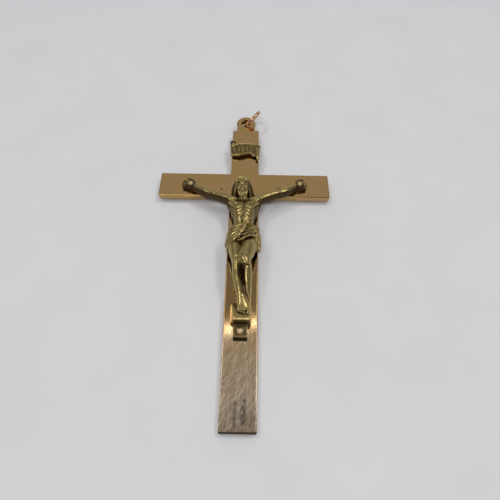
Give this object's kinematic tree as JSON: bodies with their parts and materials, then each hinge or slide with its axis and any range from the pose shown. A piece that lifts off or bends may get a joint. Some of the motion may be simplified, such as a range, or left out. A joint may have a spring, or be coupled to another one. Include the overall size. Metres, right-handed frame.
{
  "type": "crucifix pendant",
  "caption": "Flat gold-coloured cross pendant with a riveted cast figure on a foot bracket, a scroll above it, and a jump ring through an eyelet at the top.",
  "frame": {"origin": "where the centre-lines of upright and arms cross, on the flat back face of the cross plate", "axes": "+Z out of the front, away from the back face; +Y up the cross towards the eyelet; +X to the viewer's right"},
  "size_m": [0.042, 0.0818, 0.0098],
  "materials": {
    "plate_gold": "satin, fine scratches",
    "figure_gold": "polished, dark in the recesses",
    "rivet_gold": "polished",
    "ring_gold": "polished, pinkish"
  },
  "bodies": {
    "cross": {"cross_plate": "plate_gold", "corpus": "figure_gold", "footrest": "figure_gold", "titulus": "figure_gold", "left_hand_rivet": "rivet_gold", "right_hand_rivet": "rivet_gold", "foot_rivet": "rivet_gold"},
    "ring": {"jump_ring": "ring_gold"}
  },
  "joints": [
    {"name": "jump_ring_swing", "type": "hinge", "parent": "cross", "child": "ring", "pos_m": [0, 0.02155, 0.00075], "axis": [0, 0, 1], "range_deg": [-84, 150]}
  ]
}
